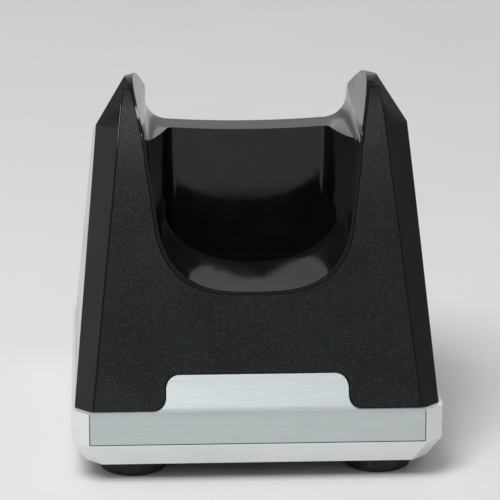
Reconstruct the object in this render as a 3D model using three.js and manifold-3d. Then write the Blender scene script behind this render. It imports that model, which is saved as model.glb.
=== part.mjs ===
// Weighted charge stand for a cordless hair clipper.
// Millimetres, +Z up, front of the stand towards -Y, origin at the centre of the resting plane.
// A gloss housing with two horns stands on a silver base ring. The clipper drops into the well
// between the horns and rests on two sprung contacts. The cord inlet sits in a drum that swivels
// in the right rear corner of the base.

import * as THREE from 'three';
import { mergeVertices } from 'three/addons/utils/BufferGeometryUtils.js';
import Module from 'manifold-3d';

const wasm = await Module();
wasm.setup();

// ---- driving dimensions -------------------------------------------------------------------

const gap = 0.3;                  // clearance between neighbouring pieces
const lift = 2.2;                 // heights below are taken from a plane this far above the table
const fine = 28;                  // facets around a large round piece
const coarse = 12;                // facets around a small round piece

const base = {
  half: 50,                       // half the width and half the depth of the ring
  bottomHalf: 46.4,               // the same at its bottom edge, below the bevel
  cut: 4.5,                       // corner chamfer, measured along each side
  wall: 3,
  bottom: 2.9,
  bevelTop: 9.3,
  top: 18.4,
};

const shell = {
  bottom: base.top + gap,
  half: 49.1,                     // half width at the bottom
  shoulderHalf: 42.5,             // half width where the crown facets start
  shoulder: 88.2,                 // height of the front end of that line
  tipOuter: 34.65,                // half width at the horn tips
  top: 99.5,
  cutBottom: 4.8,                 // corner chamfer at the bottom
  cutFront: 6.1,                  // corner chamfer at the shoulder, front
  cutRear: 15.8,                  // corner chamfer at the shoulder, rear
  wall: 2.2,
  cover: 1.5,                     // thickness of the textured covers
};

// The rim falls towards the rear by this share of its depth.
const rim = { centre: 80.2, side: 81, flatHalf: 22, half: 28.5, rise: 6.2, fall: 0.13 };

const well = {
  rear: 13.1,                     // y of the rear wall
  front: -18.4,                   // y of the front wall at the middle
  half: 23.1,
  cornerRadius: 3,
  floor: 23.2,
  floorThickness: 2.2,
  split: 43.6,                    // height where the cup ends and the housing goes on
};

const lip = { outerY: -34.2, outerZ: 48.2, innerZ: 50.9 };

const plate = {
  half: 45,
  bottom: 9.7,
  front: -49.9,
  thickness: 1.6,
  tabHalf: 24.5,
  tabTop: 27.4,
  tabRadius: 3.5,
};

const foot = { radius: 9, centre: 33.4, top: 3.1 };

const floorPlate = { half: 43.6, cut: 4, bottom: 3.4, top: 5.8 };

const pivot = {
  at: 33.4,                       // x and y of the swivel axis
  shaft: 4,
  bore: 4.4,
  flange: 9.3,
  dialTop: 8.8,
  dialRadius: 16.2,
  dialBottomRadius: 13.1,
  drumRadius: 15.8,
  drumBottom: 11.3,
  drumTop: 18.1,
  neck: 12,
  clearance: 16.6,
};

const notch = { from: 20.5, bottom: 11, radius: 3.5 };

const baseScrews = [[-18, -39], [18, -39], [-18, 39], [8, 39]];
const baseScrewNames = ['front_left', 'front_right', 'rear_left', 'rear_right'];

const board = { left: -19, right: 16.6, front: -27, rear: 33, bottom: 8, top: 9.6 };
const boardScrews = [[-13, -22], [11, -22]];

const contact = { x: 7, y: -2, shaft: 1.5, collar: 2, top: 25.4, bore: 2.3, travel: 2 };

// ---- materials ----------------------------------------------------------------------------

const finish = (color, roughness, metalness) =>
  new THREE.MeshStandardMaterial({ color, roughness, metalness });

const finishes = {
  glossBlack: finish(0x0b0b0c, 0.12, 0),
  texturedBlack: finish(0x1c1d1f, 0.55, 0.1),
  silver: finish(0xd9dddd, 0.35, 0.6),
  plateSilver: finish(0xb0b8b8, 0.3, 0.8),
  mattBlack: finish(0x19191a, 0.6, 0),
  rubber: finish(0x101010, 0.9, 0),
  steel: finish(0x9a9c9e, 0.35, 1),
  castIron: finish(0x4a4b4d, 0.7, 0.8),
  brass: finish(0xc9a24a, 0.3, 1),
  board: finish(0x1f5a33, 0.5, 0),
};

// ---- solids -------------------------------------------------------------------------------

function signedVolume(positions, indices) {
  const corner = [new THREE.Vector3(), new THREE.Vector3(), new THREE.Vector3()];
  let volume = 0;
  for (let i = 0; i < indices.length; i += 3) {
    for (let k = 0; k < 3; k += 1) corner[k].fromArray(positions, 3 * indices[i + k]);
    volume += corner[0].dot(corner[1].cross(corner[2])) / 6;
  }
  return volume;
}

// A three.js geometry as a solid, with its faces pointing out.
function solid(geometry) {
  const bare = geometry.clone();
  bare.deleteAttribute('normal');
  bare.deleteAttribute('uv');
  const merged = mergeVertices(bare, 1e-4);
  const vertProperties = new Float32Array(merged.attributes.position.array);
  let triVerts = new Uint32Array(merged.index.array);
  const whole = [];
  for (let i = 0; i < triVerts.length; i += 3) {
    const [a, b, c] = [triVerts[i], triVerts[i + 1], triVerts[i + 2]];
    if (a !== b && b !== c && c !== a) whole.push(a, b, c);
  }
  triVerts = new Uint32Array(whole);
  if (signedVolume(vertProperties, triVerts) < 0) triVerts.reverse();
  return new wasm.Manifold(new wasm.Mesh({ numProp: 3, vertProperties, triVerts }));
}

function geometryOf(manifold) {
  const { vertProperties, triVerts } = manifold.getMesh();
  const geometry = new THREE.BufferGeometry();
  geometry.setAttribute('position', new THREE.BufferAttribute(vertProperties, 3));
  geometry.setIndex(new THREE.BufferAttribute(triVerts, 1));
  return geometry;
}

const join = (first, ...others) => others.reduce((sum, other) => sum.add(other), first);
const cutBy = (first, ...others) => others.reduce((rest, other) => rest.subtract(other), first);

function block([x0, x1], [y0, y1], [z0, z1]) {
  const geometry = new THREE.BoxGeometry(x1 - x0, y1 - y0, z1 - z0);
  geometry.translate((x0 + x1) / 2, (y0 + y1) / 2, (z0 + z1) / 2);
  return solid(geometry);
}

// A turned piece: profile points are [radius, height], the axis is vertical through (x, y).
function turned(profile, [x, y] = [0, 0], facets = fine) {
  const closed = [...profile, profile[0]].map(([r, z]) => new THREE.Vector2(r, z));
  const geometry = new THREE.LatheGeometry(closed, facets);
  geometry.rotateX(Math.PI / 2);
  geometry.translate(x, y, 0);
  return solid(geometry);
}

function rod(radius, [z0, z1], at, facets = coarse) {
  return turned([[0, z0], [radius, z0], [radius, z1], [0, z1]], at, facets);
}

function tube([inner, outer], [z0, z1], at, facets = fine) {
  return turned([[inner, z0], [outer, z0], [outer, z1], [inner, z1]], at, facets);
}

// Rings of points with the same count, joined one to the next and closed at both ends.
function loft(rings) {
  const count = rings[0].length;
  const positions = rings.flat().flat();
  const indices = [];
  for (let r = 0; r + 1 < rings.length; r += 1) {
    for (let i = 0; i < count; i += 1) {
      const a = r * count + i;
      const b = r * count + (i + 1) % count;
      indices.push(a, b, b + count, a, b + count, a + count);
    }
  }
  const last = (rings.length - 1) * count;
  for (const [ring, start] of [[rings[0], 0], [rings[rings.length - 1], last]]) {
    const flat = flattened(ring);
    for (const [a, b, c] of THREE.ShapeUtils.triangulateShape(flat, [])) {
      if (start === 0) indices.push(start + c, start + b, start + a);
      else indices.push(start + a, start + b, start + c);
    }
  }
  const geometry = new THREE.BufferGeometry();
  geometry.setAttribute('position', new THREE.Float32BufferAttribute(positions, 3));
  geometry.setIndex(indices);
  return solid(geometry);
}

// A ring lies in a level plane or in an upright plane across Y; this drops its constant axis.
function flattened(ring) {
  const level = ring.every((p) => Math.abs(p[2] - ring[0][2]) < 1e-6);
  const flat = ring.map((p) => new THREE.Vector2(p[0], level ? p[1] : p[2]));
  if (THREE.ShapeUtils.area(flat) >= 0) return flat;
  // The sweep in loft() expects counter-clockwise rings, whichever plane they lie in.
  throw new Error('a loft ring runs clockwise');
}

// An outline in the XZ plane, carried along Y.
function acrossDepth(shape, [y0, y1]) {
  const options = { depth: y1 - y0, bevelEnabled: false, curveSegments: 6 };
  const geometry = new THREE.ExtrudeGeometry(shape, options);
  geometry.applyMatrix4(new THREE.Matrix4().set(1, 0, 0, 0, 0, 0, 1, y0, 0, 1, 0, 0, 0, 0, 0, 1));
  return solid(geometry);
}

function upright(shape, [z0, z1]) {
  const options = { depth: z1 - z0, bevelEnabled: false, curveSegments: 6 };
  const geometry = new THREE.ExtrudeGeometry(shape, options);
  geometry.translate(0, 0, z0);
  return solid(geometry);
}

const mix = (a, b, t) => a + (b - a) * t;
const within = (t) => Math.min(1, Math.max(0, t));

// ---- the outer form of the shell ----------------------------------------------------------

// Side view of the shell: a front curve up to the peak, a crown, and a nearly straight back.
const peakY = -2.3;
const backCorner = { y: 27.8, z: 88.6 };
const frontCurve = new THREE.CubicBezierCurve(
  new THREE.Vector2(-49, 18.4), new THREE.Vector2(-33.5, 48),
  new THREE.Vector2(-20, shell.top), new THREE.Vector2(peakY, shell.top),
);
const crownCurve = new THREE.CubicBezierCurve(
  new THREE.Vector2(backCorner.y, backCorner.z), new THREE.Vector2(20, 96),
  new THREE.Vector2(10, shell.top), new THREE.Vector2(peakY, shell.top),
);
const backCurve = new THREE.CubicBezierCurve(
  new THREE.Vector2(49, 18.4), new THREE.Vector2(44.2, 40),
  new THREE.Vector2(33.5, 74), new THREE.Vector2(backCorner.y, backCorner.z),
);

// The y of a rising curve at height z.
function yAt(curve, z) {
  let low = 0;
  let high = 1;
  for (let step = 0; step < 30; step += 1) {
    const middle = (low + high) / 2;
    if (curve.getPoint(middle).y < z) low = middle;
    else high = middle;
  }
  return curve.getPoint(low).x;
}

const frontY = (z) => yAt(frontCurve, z);
const rearY = (z) => yAt(z > backCorner.z ? crownCurve : backCurve, z);

// Share of the way up from the shell's bottom to its shoulder.
const climb = (z) => (z - shell.bottom) / (shell.shoulder - shell.bottom);

const halfWidth = (z) => mix(shell.half, shell.shoulderHalf, climb(z));
const frontCutAt = (z) => mix(shell.cutBottom, shell.cutFront, climb(z));

// The rear corner chamfers run at 45 degrees; this is x + y on them at height z.
const tipReach = 32.5;
function rearReach(z) {
  const share = Math.max(0, climb(Math.min(z, shell.shoulder)));
  const cut = mix(shell.cutBottom, shell.cutRear, share ** 1.6);
  if (z <= shell.shoulder) return halfWidth(z) + rearY(z) - cut;
  const atShoulder = shell.shoulderHalf + rearY(shell.shoulder) - shell.cutRear;
  const left = 1 - within((z - shell.shoulder) / (shell.top - shell.shoulder));
  return mix(tipReach, atShoulder, left ** 0.63 + 0.195 * left ** 4 * (1 - left));
}

// A rectangle with its four corners cut, as a level ring at height z.
function cutRectangle(half, front, rear, frontCut, rearCut, z) {
  return [
    [-half + frontCut, front, z], [half - frontCut, front, z],
    [half, front + frontCut, z], [half, rear - rearCut, z],
    [half - rearCut, rear, z], [-half + rearCut, rear, z],
    [-half, rear - rearCut, z], [-half, front + frontCut, z],
  ];
}

const cornerShare = 0.586;        // how much a 45 degree corner cut shrinks per unit of offset

// Points on the crown of the right horn: its tip, the two ends of the front crown facet's
// crease, and a point further back on the shoulder line, which falls towards the rear.
const crown = {
  tip: [shell.tipOuter, peakY, shell.top],
  onFront: [halfWidth(94.1) - frontCutAt(94.1), frontY(94.1), 94.1],
  shoulder: [shell.shoulderHalf, frontY(shell.shoulder) + shell.cutFront, shell.shoulder],
  behind: [halfWidth(82.5), 6.7, 82.5],
};

// The part of a solid under the plane through three points, moved inwards by depth.
function under(manifold, points, depth) {
  const [a, b, c] = points.map((p) => new THREE.Vector3(...p));
  const normal = b.clone().sub(a).cross(c.clone().sub(a)).normalize();
  if (normal.z < 0) normal.negate();
  return manifold.trimByPlane([-normal.x, -normal.y, -normal.z], -(normal.dot(a) - depth));
}

const mirrored = ([x, y, z]) => [-x, y, z];

const domeLevels = [30, 42, 54, 66, 76, 84, shell.shoulder, 91, 94, 96.5, 98.3, 99.2, shell.top];

// The space between the two rear corner chamfers, from the front up to where they would meet.
function withinRearCorners(depth) {
  const levels = [shell.bottom - 30, shell.bottom, ...domeLevels];
  return loft(levels.map((z) => {
    const seen = Math.min(shell.top, Math.max(z, shell.bottom) + 0.7 * depth);
    const reach = rearReach(seen) - 1.5 * depth;
    return [[-reach - 70, -70, z], [reach + 70, -70, z], [0, reach, z]];
  }));
}

// The shell's outer form moved inwards by depth.
function dome(depth, bottom = shell.bottom) {
  const top = shell.top - 1.4 * depth;
  const used = [bottom, ...domeLevels].filter((z) => z < top - 0.5);
  used.push(top);
  const rings = used.map((z) => {
    const seen = Math.min(shell.top, z + 0.7 * depth);
    const front = frontY(seen) + depth;
    const rear = Math.max(front + 2.4, rearY(seen) - depth);
    const room = (rear - front) / 2 - 0.6;
    const frontCut = Math.min(room, Math.max(0.3, frontCutAt(seen) - cornerShare * depth));
    return cutRectangle(halfWidth(seen) - depth, front, rear, frontCut, 0.3, z);
  });
  let form = loft(rings).intersect(withinRearCorners(depth));
  const { tip, onFront, shoulder, behind } = crown;
  for (const facet of [[tip, onFront, shoulder], [tip, shoulder, behind]]) {
    form = under(form, facet, depth);
    form = under(form, facet.map(mirrored), depth);
  }
  return form;
}

// ---- the space that the clipper drops into ------------------------------------------------

// Plan of the deep well, grown outwards by grow.
function wellPlan(grow) {
  const half = well.half + grow;
  const rear = well.rear + grow;
  const front = well.front - grow;
  const round = well.cornerRadius;
  const shape = new THREE.Shape();
  shape.moveTo(0, rear);
  shape.lineTo(-half + round, rear);
  shape.quadraticCurveTo(-half, rear, -half, rear - round);
  shape.lineTo(-half - 0.4, -9);
  shape.bezierCurveTo(-half - 1, -15.5 - grow, -15 - grow, front, 0, front);
  shape.bezierCurveTo(15 + grow, front, half + 1, -15.5 - grow, half + 0.4, -9);
  shape.lineTo(half, rear - round);
  shape.quadraticCurveTo(half, rear, half - round, rear);
  shape.closePath();
  return shape;
}

// Half width of the scoop at height h over its lowest point: a rounded bottom, then a flare.
function scoopHalf(h, { foot: footHalf, flare, roundHeight, power }) {
  const low = 1 - within(h / roundHeight);
  return (footHalf + flare * h) * (1 - low ** power) ** (1 / power);
}

const scoopHeights = [0.25, 1.1, 2.6, 5, 8, 12, 17, 25, 36, 62];
const frontScoop = { foot: 24.2, flare: 0.15, roundHeight: 20, power: 3 };
const innerScoop = { foot: 22.5, flare: 0.2, roundHeight: 14, power: 2.2 };
const rearScoop = { foot: 23.1, flare: 0, roundHeight: 14, power: 2.2 };

function scoopRing(y, bottom, section, grow) {
  const right = scoopHeights.map((h) => [scoopHalf(h, section) + grow, y, bottom + h - grow]);
  const left = right.map(([x, , z]) => [-x, y, z]).reverse();
  return [...left, ...right];
}

// The cut that opens the front wall and widens the top of the well.
function scoop(grow) {
  const slope = (lip.innerZ - lip.outerZ) / (well.front - lip.outerY);
  const ahead = -60;
  const rings = [
    scoopRing(ahead, lip.outerZ + slope * (ahead - lip.outerY), frontScoop, grow),
    scoopRing(lip.outerY, lip.outerZ, frontScoop, grow),
    scoopRing(well.front, lip.innerZ, innerScoop, grow),
    scoopRing(well.rear + grow, lip.innerZ, rearScoop, grow),
  ];
  return loft(rings);
}

// The saddle between the horns: a rim with rounded ends, upright sides, then bevelled sides.
function saddleRing(y, grow) {
  const drop = rim.fall * Math.max(0, y - well.rear);
  const [centre, side] = [rim.centre - drop - grow, rim.side - drop - grow];
  const half = rim.half + 0.0244 * (backCorner.y - y) + grow;
  const crease = 85.8 + 0.18 * y;
  const above = 108;
  const spread = 0.2105 * (above - crease);
  const right = [[0, centre], [rim.flatHalf / 2, centre + 0.2]];
  for (let step = 0; step <= 5; step += 1) {
    const turn = (step / 5) * (Math.PI / 2);
    const x = mix(rim.flatHalf, half, Math.sin(turn));
    right.push([x, side + rim.rise * (1 - Math.cos(turn))]);
  }
  const top = Math.max(crease, side + rim.rise + 0.2);
  right.push([half, top], [half + spread, above]);
  const left = right.slice(1).map(([x, z]) => [-x, z]).reverse();
  return [...left, ...right].map(([x, z]) => [x, y, z]);
}

function saddle(grow) {
  return loft([-30, well.rear, 60].map((y) => saddleRing(y, grow)));
}

function clipperSpace(grow, bottom) {
  const deep = upright(wellPlan(grow), [bottom, 70]);
  return join(deep, scoop(grow), saddle(grow));
}

// ---- covers, nameplate and housing --------------------------------------------------------

// Half width of the flat front face, or of the rear face, at height z.
function faceHalf(front, z) {
  if (!front) return rearReach(z) - rearY(z);
  const [x, , level] = crown.onFront;
  if (z < level) return halfWidth(z) - frontCutAt(z);
  return mix(x, shell.tipOuter, (z - level) / (shell.top - level));
}

// The wedge of space in front of (or behind) the shell, between its corner chamfers.
function betweenChamfers(front, margin, bottom, top) {
  const levels = [bottom, ...domeLevels.filter((z) => z > bottom && z < top - 0.5), top];
  const rings = levels.map((z) => {
    const half = faceHalf(front, Math.max(z, shell.bottom)) - margin;
    const [y0, y1] = front ? [-60, peakY - 4] : [12, 60];
    return [[-half, y0, z], [half, y0, z], [half, y1, z], [-half, y1, z]];
  });
  return loft(rings);
}

// The nameplate's outline: a wide strip with a tab standing on its middle.
function plateOutline(margin) {
  const half = plate.half + margin;
  const tab = plate.tabHalf + margin;
  const top = plate.tabTop + margin;
  const step = base.top + gap - 0.1 + margin;
  const r = plate.tabRadius;
  const shape = new THREE.Shape();
  shape.moveTo(-half, plate.bottom - margin);
  shape.lineTo(half, plate.bottom - margin);
  shape.lineTo(half, step);
  shape.lineTo(tab + r, step);
  shape.absarc(tab + r, step + r, r, 1.5 * Math.PI, Math.PI, true);
  shape.absarc(tab - r, top - r, r, 0, 0.5 * Math.PI, false);
  shape.absarc(-tab + r, top - r, r, 0.5 * Math.PI, Math.PI, false);
  shape.absarc(-tab - r, step + r, r, 0, 1.5 * Math.PI, true);
  shape.lineTo(-half, step);
  shape.closePath();
  return shape;
}

function nameplate() {
  const outline = acrossDepth(plateOutline(0), [-60, -30]);
  const low = block([-60, 60], [plate.front, plate.front + plate.thickness], [0, shell.bottom + 0.6]);
  const high = cutBy(dome(0, base.top + gap), dome(plate.thickness, shell.bottom - 2));
  return outline.intersect(join(low, high));
}

// The room for the nameplate, open to the front.
function plateRoom() {
  const depth = plate.thickness + gap;
  const behind = block([-60, 60], [plate.front + depth, 0], [0, base.top + 0.1]);
  const outline = acrossDepth(plateOutline(gap), [-60, -30]);
  return cutBy(outline, behind, dome(depth, shell.bottom - 2));
}

const coverTop = { front: 96.5, rear: 88 };

function frontCover() {
  const region = betweenChamfers(true, 0.4, shell.bottom + 0.2, coverTop.front);
  const layer = dome(0).intersect(region).subtract(dome(shell.cover, shell.bottom - 2));
  return cutBy(layer, clipperSpace(1.3, well.split), plateRoom());
}

function rearCover() {
  const region = betweenChamfers(false, 0.4, shell.bottom + 0.2, coverTop.rear);
  const layer = dome(0).intersect(region).subtract(dome(shell.cover, shell.bottom - 2));
  return largest(layer.subtract(clipperSpace(1.3, well.split)));
}

// The room for a cover, open to the outside.
function coverRoom(front) {
  const top = (front ? coverTop.front : coverTop.rear) + gap;
  const region = betweenChamfers(front, 0.1, shell.bottom - 1, top);
  return cutBy(region, dome(shell.cover + gap, shell.bottom - 3), clipperSpace(1, well.split));
}

function largest(manifold) {
  return manifold.decompose().sort((a, b) => b.volume() - a.volume())[0];
}

const pillarAt = ([x, y], radius, [z0, z1]) => rod(radius, [z0, z1], [x, y], coarse);

function housing() {
  const lining = clipperSpace(shell.wall, well.split);
  const hollow = largest(dome(shell.wall + shell.cover, shell.bottom - 2).subtract(lining));
  const bosses = baseScrews.map((at) => pillarAt(at, 3.6, [floorPlate.top + gap, 60]));
  bosses.push(pillarAt([pivot.at, pivot.at], 5.6, [19.6, 70]));
  const inside = join(dome(1.9, shell.bottom), block([-46, 46], [-46, 46], [0, shell.bottom + 1]));
  const pilots = baseScrews.map((at) => pillarAt(at, 1.65, [0, 16]));
  pilots.push(pillarAt([pivot.at, pivot.at], 1.8, [0, 32]));
  const whole = join(dome(0).subtract(hollow), join(...bosses).intersect(inside));
  const rooms = [clipperSpace(0, 0), coverRoom(true), coverRoom(false), plateRoom()];
  return largest(cutBy(whole, ...rooms, ...pilots));
}

function cradleCup() {
  const outside = upright(wellPlan(shell.wall), [well.floor - well.floorThickness, well.split - gap]);
  const inside = upright(wellPlan(0), [well.floor, well.split + 1]);
  const holes = [-1, 1].map((side) => rod(1.9, [0, 40], [side * contact.x, contact.y]));
  return cutBy(outside, inside, ...holes);
}

// ---- the base -----------------------------------------------------------------------------

const squareRing = (half, cut, z) => cutRectangle(half, -half, half, cut, cut, z);

// The opening in the right rear corner: tall enough for the inlet, with rounded lower ends.
function notchOutline() {
  const { from, bottom, radius } = notch;
  const shape = new THREE.Shape();
  shape.moveTo(from, 30);
  shape.lineTo(from, bottom + radius);
  shape.absarc(from + radius, bottom + radius, radius, Math.PI, 1.5 * Math.PI, false);
  shape.lineTo(60, bottom);
  shape.lineTo(60, 30);
  shape.closePath();
  return shape;
}

function notchSpace() {
  const throughRear = acrossDepth(notchOutline(), [notch.from, 60]);
  const throughSide = solid(geometryOf(throughRear).applyMatrix4(
    new THREE.Matrix4().set(0, 1, 0, 0, 1, 0, 0, 0, 0, 0, 1, 0, 0, 0, 0, 1),
  ));
  return join(throughRear, throughSide);
}

function baseRing() {
  const outside = loft([
    squareRing(base.bottomHalf, base.cut, base.bottom),
    squareRing(base.half, base.cut, base.bevelTop),
    squareRing(base.half, base.cut, base.top),
  ]);
  const thin = base.wall;
  const inside = loft([
    squareRing(base.bottomHalf - thin + 0.6, base.cut - 1.4, base.bottom - 1),
    squareRing(base.half - thin, base.cut - 1.4, base.bevelTop),
    squareRing(base.half - thin, base.cut - 1.4, base.top + 1),
  ]);
  const below = base.bevelTop - 0.2;
  const dialRoom = join(
    rod(pivot.clearance, [0, below], [pivot.at, pivot.at], fine),
    block([pivot.at, 60], [pivot.at, 60], [0, below]),
  );
  return cutBy(outside, inside, plateRoom(), notchSpace(), dialRoom);
}

function bottomPlate() {
  const { half, cut, bottom, top } = floorPlate;
  const sheet = loft([squareRing(half, cut, bottom), squareRing(half, cut, top)]);
  const posts = [-1, 1].flatMap((sx) => [-1, 1].map((sy) => rod(2.6, [top - 0.5, 20.7], [sx * 22.6, sy * 10])));
  const standoffs = boardScrews.map((at) => rod(2.4, [top - 0.5, board.bottom - gap], at));
  const holes = baseScrews.flatMap((at) => [rod(1.75, [0, 8], at), rod(3.2, [0, 5], at)]);
  const pilots = boardScrews.map((at) => rod(1.2, [4.6, 12], at));
  const ballastHoles = ballastScrewSpots.flatMap((at) => [rod(1.9, [0, 8], at), rod(3.2, [0, 5], at)]);
  const dialRoom = join(
    rod(pivot.dialRadius + 0.5, [0, 8], [pivot.at, pivot.at], fine),
    block([pivot.at, 60], [pivot.at, 60], [0, 8]),
  );
  return cutBy(join(sheet, ...posts, ...standoffs), ...holes, ...pilots, ...ballastHoles, dialRoom);
}

const ballastShapes = {
  left: { x: [-44.3, -27], y: [-28, 28] },
  right: { x: [27, 44.3], y: [-28, 15] },
};
const ballastHeight = [floorPlate.top + gap, 18];
const ballastScrews = {
  left: [[-36, -20], [-36, 20]],
  right: [[36, -20], [36, 7]],
};
const ballastScrewSpots = [...ballastScrews.left, ...ballastScrews.right];

function ballast(side) {
  const { x, y } = ballastShapes[side];
  const bar = block(x, y, ballastHeight);
  return cutBy(bar, ...ballastScrews[side].map((at) => rod(1.7, [0, 15], at)));
}

// A pan-head screw with a cross recess, driven upwards from below.
function screw([x, y], { headRadius, headHeight, shank, bottom, top }) {
  const under = bottom + headHeight;
  const body = turned([
    [0, bottom], [headRadius - 0.5, bottom], [headRadius, bottom + 0.5], [headRadius, under],
    [shank, under], [shank, top - 0.8], [0, top],
  ], [x, y], coarse);
  const reach = headRadius * 0.6;
  const recess = join(
    block([x - reach, x + reach], [y - 0.3, y + 0.3], [bottom - 1, bottom + 0.7]),
    block([x - 0.3, x + 0.3], [y - reach, y + reach], [bottom - 1, bottom + 0.7]),
  );
  return body.subtract(recess);
}

// ---- contacts and circuit board -----------------------------------------------------------

function circuitBoard() {
  const sheet = block([board.left, board.right], [board.front, board.rear], [board.bottom, board.top]);
  const rearClear = rod(3.9, [0, 20], baseScrews[3]);
  return cutBy(sheet, ...boardScrews.map((at) => rod(1.5, [0, 20], at)), rearClear);
}

function contactBlock() {
  const body = block([-12, 12], [contact.y - 5, contact.y + 5], [board.top + gap, 20.7]);
  const bores = [-1, 1].map((side) => rod(contact.bore, [0, 30], [side * contact.x, contact.y]));
  return cutBy(body, ...bores);
}

function contactPin(side) {
  const { shaft, collar, top } = contact;
  return turned([
    [0, 17.6], [1, 17.6], [1, 19.2], [collar, 19.2], [collar, 20.5], [shaft, 20.5],
    [shaft, top - 0.8], [0.8, top], [0, top],
  ], [side * contact.x, contact.y], coarse);
}

// A compression spring: a round wire wound on a helix.
class Helix extends THREE.Curve {
  constructor(radius, bottom, height, turns) {
    super();
    Object.assign(this, { radius, bottom, height, turns });
  }

  getPoint(t, target = new THREE.Vector3()) {
    const angle = 2 * Math.PI * this.turns * t;
    const level = this.bottom + this.height * t;
    return target.set(this.radius * Math.cos(angle), this.radius * Math.sin(angle), level);
  }
}

const spring = { mean: 1.65, wire: 0.28, bottom: 10.2, top: 18.6, turns: 5 };

function contactSpring(side) {
  const { mean, wire, bottom, top, turns } = spring;
  const section = new THREE.Shape();
  section.absarc(0, 0, wire, 0, 2 * Math.PI, false);
  const options = {
    steps: 9 * turns,
    curveSegments: 3,
    bevelEnabled: false,
    extrudePath: new Helix(mean, bottom, top - bottom, turns),
  };
  const geometry = new THREE.ExtrudeGeometry(section, options);
  geometry.translate(side * contact.x, contact.y, 0);
  return solid(geometry);
}

// ---- the swivelling inlet -----------------------------------------------------------------

const pivotAt = [pivot.at, pivot.at];
const groove = { inner: [6.3, 8.7], outer: [10.3, 12.7], depth: 0.6 };

function pivotHub() {
  const { flange, shaft } = pivot;
  const body = turned([[0, 3], [flange, 3], [flange, 5], [shaft, 5], [shaft, 19.3], [0, 19.3]], pivotAt);
  return cutBy(body, rod(3.3, [0, 5.1], pivotAt), rod(1.8, [0, 25], pivotAt));
}

function swivelDial() {
  const { bore, flange, dialBottomRadius, dialRadius, dialTop } = pivot;
  return turned([
    [bore, 5.3], [flange + 0.4, 5.3], [flange + 0.4, 3], [dialBottomRadius, 3],
    [dialRadius, dialTop - 0.5], [dialRadius, dialTop], [bore, dialTop],
  ], pivotAt);
}

const inletTurn = Math.PI / 4;    // the inlet faces out of the corner at rest
const inlet = { half: 6.5, low: 11.9, high: 17.5, depth: 9, pinSpacing: 6.4, pinRadius: 1 };

// A piece drawn with the inlet facing +X at the origin, turned and moved onto the swivel.
function ontoSwivel(manifold) {
  const geometry = geometryOf(manifold);
  geometry.rotateZ(inletTurn);
  geometry.translate(pivot.at, pivot.at, 0);
  return solid(geometry);
}

function inletDrum() {
  const { bore, neck, drumRadius, drumBottom, drumTop, dialTop } = pivot;
  const low = drumTop - groove.depth;
  const body = turned([
    [bore, dialTop + gap], [neck, dialTop + gap], [neck, drumBottom], [drumRadius, drumBottom],
    [drumRadius, drumTop], [groove.outer[1], drumTop], [groove.outer[1], low],
    [groove.outer[0], low], [groove.outer[0], drumTop], [groove.inner[1], drumTop],
    [groove.inner[1], low], [groove.inner[0], low], [groove.inner[0], drumTop], [bore, drumTop],
  ]);
  const back = drumRadius - inlet.depth;
  const cavity = block([back, 20], [-inlet.half, inlet.half], [inlet.low, inlet.high]);
  return ontoSwivel(body.subtract(cavity));
}

function inletPin(side) {
  const back = pivot.drumRadius - inlet.depth + gap;
  const geometry = new THREE.CylinderGeometry(inlet.pinRadius, inlet.pinRadius, 5.6, coarse);
  geometry.rotateZ(Math.PI / 2);
  geometry.translate(back + 2.8, side * inlet.pinSpacing / 2, (inlet.low + inlet.high) / 2);
  return ontoSwivel(solid(geometry));
}

function slipRing([inner, outer]) {
  const low = pivot.drumTop - groove.depth + gap;
  return tube([inner + gap, outer - gap], [low, low + 0.6], pivotAt);
}

// A flat spring strip: an upright leg on the board and an arm that reaches over its slip ring.
function wiper(y, reach) {
  const leg = block([15.2, 15.6], [y - 1, y + 1], [board.top + gap, 19.1]);
  const arm = block([15.2, reach], [y - 1, y + 1], [18.8, 19.1]);
  return join(leg, arm);
}

// ---- assembly -----------------------------------------------------------------------------

const stand = new THREE.Group();

function add(name, manifold, material) {
  const raised = name.startsWith('foot_') ? manifold : manifold.translate([0, 0, lift]);
  const mesh = new THREE.Mesh(geometryOf(raised), material);
  mesh.name = name;
  stand.add(mesh);
}

add('housing', housing(), finishes.glossBlack);
add('front_cover', frontCover(), finishes.texturedBlack);
add('rear_cover', rearCover(), finishes.texturedBlack);
add('cradle_cup', cradleCup(), finishes.glossBlack);
add('nameplate', nameplate(), finishes.plateSilver);
add('base_ring', baseRing(), finishes.silver);
add('bottom_plate', bottomPlate(), finishes.mattBlack);

const footSpots = {
  foot_front_left: [-1, -1],
  foot_front_right: [1, -1],
  foot_rear_left: [-1, 1],
  foot_rear_right: [1, 1],
};
for (const [name, [sx, sy]] of Object.entries(footSpots)) {
  const top = lift + (name === 'foot_rear_right' ? 2.7 : foot.top);
  const at = [sx * foot.centre, sy * foot.centre];
  const profile = [[0, 0], [foot.radius - 0.6, 0], [foot.radius, 0.6], [foot.radius, top], [0, top]];
  add(name, turned(profile, at), finishes.rubber);
}

const baseScrewSize = { headRadius: 2.8, headHeight: 1.1, shank: 1.35, bottom: 3.6, top: 15 };
baseScrews.forEach((at, i) => {
  add(`base_screw_${baseScrewNames[i]}`, screw(at, baseScrewSize), finishes.steel);
});

for (const side of ['left', 'right']) {
  add(`ballast_${side}`, ballast(side), finishes.castIron);
  ballastScrews[side].forEach((at, i) => {
    const name = `ballast_screw_${side}_${i === 0 ? 'front' : 'rear'}`;
    add(name, screw(at, { ...baseScrewSize, top: 14 }), finishes.steel);
  });
}

add('circuit_board', circuitBoard(), finishes.board);
boardScrews.forEach((at, i) => {
  const size = { headRadius: 2.2, headHeight: 1, shank: 0.9, bottom: -10.9, top: -5 };
  const flipped = geometryOf(screw([at[0], -at[1]], size)).rotateX(Math.PI);
  add(`board_screw_${i === 0 ? 'left' : 'right'}`, solid(flipped), finishes.steel);
});

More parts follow.
